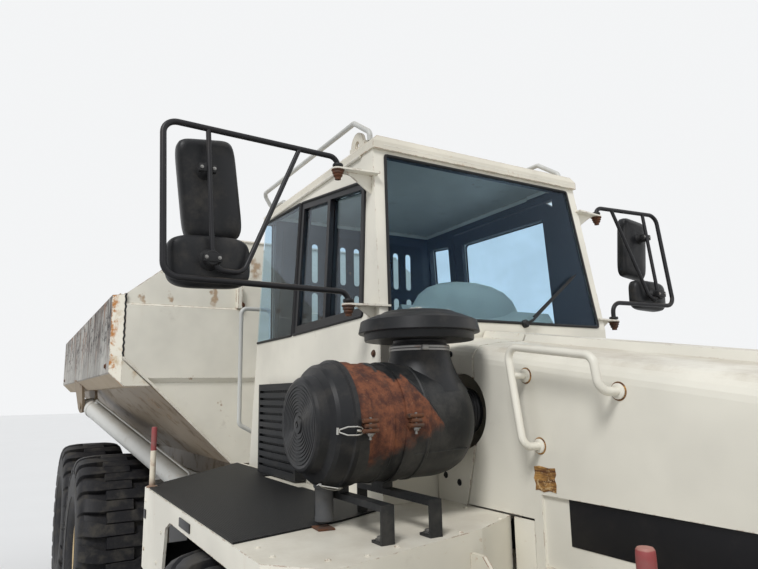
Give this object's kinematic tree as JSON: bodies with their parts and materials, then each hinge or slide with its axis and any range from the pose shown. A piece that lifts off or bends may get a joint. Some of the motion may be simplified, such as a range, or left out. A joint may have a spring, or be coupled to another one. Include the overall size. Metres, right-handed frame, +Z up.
{
  "type": "articulated dump truck",
  "caption": "Articulated dump truck with a forward hood and cab, a steering hitch, a tipping body on a bogie, hoist and steering cylinders, an opening hood and door.",
  "frame": {"origin": "on the ground under the middle of the overall length, in the truck's middle plane", "axes": "+X forward to the bumper, +Y to the truck's left, +Z up"},
  "size_m": [9.82, 3.0681, 3.4858],
  "materials": {
    "cream_paint": "weathered cream paint with rust and dirt",
    "worn_steel": "scratched pale paint worn to brown steel",
    "grey_paint": "dusty grey paint",
    "black_paint": "satin black paint",
    "pole_paint": "faded red paint",
    "rim_paint": "dusty gold paint",
    "chrome_rod": "polished rod",
    "tyre": "dusty black rubber",
    "black_rubber": "matt",
    "cab_glass": "blue-tinted glass",
    "lamp_glass": "clear lamp glass",
    "seat_fabric": "dark woven cloth",
    "dash_plastic": "grained grey-green plastic"
  },
  "bodies": {
    "tractor": {"front_frame": "cream_paint", "front_axle": "grey_paint", "engine": "grey_paint", "front_bumper": "cream_paint", "headlamps": "lamp_glass", "cowl": "cream_paint", "deck_right": "cream_paint", "deck_left": "cream_paint", "deck_mats": "black_rubber", "front_boxes": "cream_paint", "front_mudflaps": "black_rubber", "cab_shell": "cream_paint", "cab_roof": "cream_paint", "cab_glass": "cab_glass", "sliding_window": "black_paint", "window_guard": "cream_paint", "seat": "seat_fabric", "dash": "dash_plastic", "mirror_arms": "black_paint", "mirror_heads": "black_paint", "cab_rails": "cream_paint", "air_cleaner": "black_paint", "rain_cap": "black_paint", "cleaner_stand": "black_paint", "louvre_box": "grey_paint", "marker_poles": "pole_paint", "side_tanks": "black_paint"},
    "hood": {"hood": "cream_paint", "grille": "black_paint", "hood_rail": "cream_paint"},
    "door": {"cab_door": "cream_paint", "door_glass": "cab_glass"},
    "hitch": {"hitch": "grey_paint"},
    "rear_frame": {"rear_frame": "cream_paint", "rear_axles": "grey_paint", "walking_beams": "grey_paint"},
    "dump_body": {"dump_shell": "worn_steel", "side_boxes": "worn_steel", "front_wall": "cream_paint", "body_brackets": "cream_paint"},
    "hoist_barrel_left": {"hoist_barrel_left": "cream_paint"},
    "hoist_rod_left": {"hoist_rod_left": "chrome_rod"},
    "steer_barrel_left": {"steer_barrel_left": "black_paint"},
    "steer_rod_left": {"steer_rod_left": "chrome_rod"},
    "hoist_barrel_right": {"hoist_barrel_right": "cream_paint"},
    "hoist_rod_right": {"hoist_rod_right": "chrome_rod"},
    "steer_barrel_right": {"steer_barrel_right": "black_paint"},
    "steer_rod_right": {"steer_rod_right": "chrome_rod"},
    "wheel_front_left": {"tyre_front_left": "tyre", "rim_front_left": "rim_paint"},
    "wheel_front_right": {"tyre_front_right": "tyre", "rim_front_right": "rim_paint"},
    "wheel_middle_left": {"tyre_middle_left": "tyre", "rim_middle_left": "rim_paint"},
    "wheel_middle_right": {"tyre_middle_right": "tyre", "rim_middle_right": "rim_paint"},
    "wheel_rear_left": {"tyre_rear_left": "tyre", "rim_rear_left": "rim_paint"},
    "wheel_rear_right": {"tyre_rear_right": "tyre", "rim_rear_right": "rim_paint"}
  },
  "joints": [
    {"name": "hood_open", "type": "hinge", "parent": "tractor", "child": "hood", "pos_m": [4.77, 0, 1.13], "axis": [0, 1, 0], "range_deg": [0, 55]},
    {"name": "door_open", "type": "hinge", "parent": "tractor", "child": "door", "pos_m": [1.725, 0.71, 2], "axis": [0, 0, -1], "range_deg": [0, 75]},
    {"name": "steer", "type": "hinge", "parent": "tractor", "child": "hitch", "pos_m": [0.66, 0, 0.95], "axis": [0, 0, 1], "range_deg": [-45, 45]},
    {"name": "oscillate", "type": "hinge", "parent": "hitch", "child": "rear_frame", "pos_m": [0.26, 0, 0.95], "axis": [-1, 0, 0], "range_deg": [-15, 15]},
    {"name": "tip", "type": "hinge", "parent": "rear_frame", "child": "dump_body", "pos_m": [-4.29, 0, 1.33], "axis": [0, -1, 0], "range_deg": [0, 65]},
    {"name": "hoist_swing_left", "type": "hinge", "parent": "dump_body", "child": "hoist_barrel_left", "pos_m": [-2.84, 1.335, 2.065], "axis": [0.2218, 0.9655, -0.1366], "range_deg": [0, 69.9]},
    {"name": "hoist_stroke_left", "type": "slide", "parent": "hoist_barrel_left", "child": "hoist_rod_left", "axis": [0.925, -0.2526, -0.284], "range_m": [0, 1.6965]},
    {"name": "steer_swing_left", "type": "hinge", "parent": "tractor", "child": "steer_barrel_left", "pos_m": [1.48, 0.59, 0.95], "axis": [0, 0, 1], "range_deg": [-5, 5]},
    {"name": "steer_stroke_left", "type": "slide", "parent": "steer_barrel_left", "child": "steer_rod_left", "axis": [-0.9713, -0.2381, 0], "range_m": [-0.275, 0.275]},
    {"name": "hoist_swing_right", "type": "hinge", "parent": "dump_body", "child": "hoist_barrel_right", "pos_m": [-2.84, -1.335, 2.065], "axis": [-0.2218, 0.9655, 0.1366], "range_deg": [0, 69.9]},
    {"name": "hoist_stroke_right", "type": "slide", "parent": "hoist_barrel_right", "child": "hoist_rod_right", "axis": [0.925, 0.2526, -0.284], "range_m": [0, 1.6965]},
    {"name": "steer_swing_right", "type": "hinge", "parent": "tractor", "child": "steer_barrel_right", "pos_m": [1.48, -0.59, 0.95], "axis": [0, 0, 1], "range_deg": [-5, 5]},
    {"name": "steer_stroke_right", "type": "slide", "parent": "steer_barrel_right", "child": "steer_rod_right", "axis": [-0.9713, 0.2381, 0], "range_m": [-0.275, 0.275]},
    {"name": "roll_front_left", "type": "hinge", "parent": "tractor", "child": "wheel_front_left", "pos_m": [1.96, 1.17, 0.809], "axis": [0, 1, 0], "continuous": true},
    {"name": "roll_front_right", "type": "hinge", "parent": "tractor", "child": "wheel_front_right", "pos_m": [1.96, -1.17, 0.809], "axis": [0, 1, 0], "continuous": true},
    {"name": "roll_middle_left", "type": "hinge", "parent": "rear_frame", "child": "wheel_middle_left", "pos_m": [-2.14, 1.17, 0.809], "axis": [0, 1, 0], "continuous": true},
    {"name": "roll_middle_right", "type": "hinge", "parent": "rear_frame", "child": "wheel_middle_right", "pos_m": [-2.14, -1.17, 0.809], "axis": [0, 1, 0], "continuous": true},
    {"name": "roll_rear_left", "type": "hinge", "parent": "rear_frame", "child": "wheel_rear_left", "pos_m": [-3.84, 1.17, 0.809], "axis": [0, 1, 0], "continuous": true},
    {"name": "roll_rear_right", "type": "hinge", "parent": "rear_frame", "child": "wheel_rear_right", "pos_m": [-3.84, -1.17, 0.809], "axis": [0, 1, 0], "continuous": true}
  ],
  "couplings": [
    {"joint": "hoist_swing_left", "follows": "tip", "ratio": 1.0677},
    {"joint": "hoist_stroke_left", "follows": "tip", "m_per_rad": 1.4866},
    {"joint": "steer_swing_left", "follows": "steer", "ratio": 0.1},
    {"joint": "steer_stroke_left", "follows": "steer", "m_per_rad": 0.348},
    {"joint": "hoist_swing_right", "follows": "tip", "ratio": 1.0677},
    {"joint": "hoist_stroke_right", "follows": "tip", "m_per_rad": 1.4866},
    {"joint": "steer_swing_right", "follows": "steer", "ratio": 0.1},
    {"joint": "steer_stroke_right", "follows": "steer", "m_per_rad": -0.348}
  ]
}
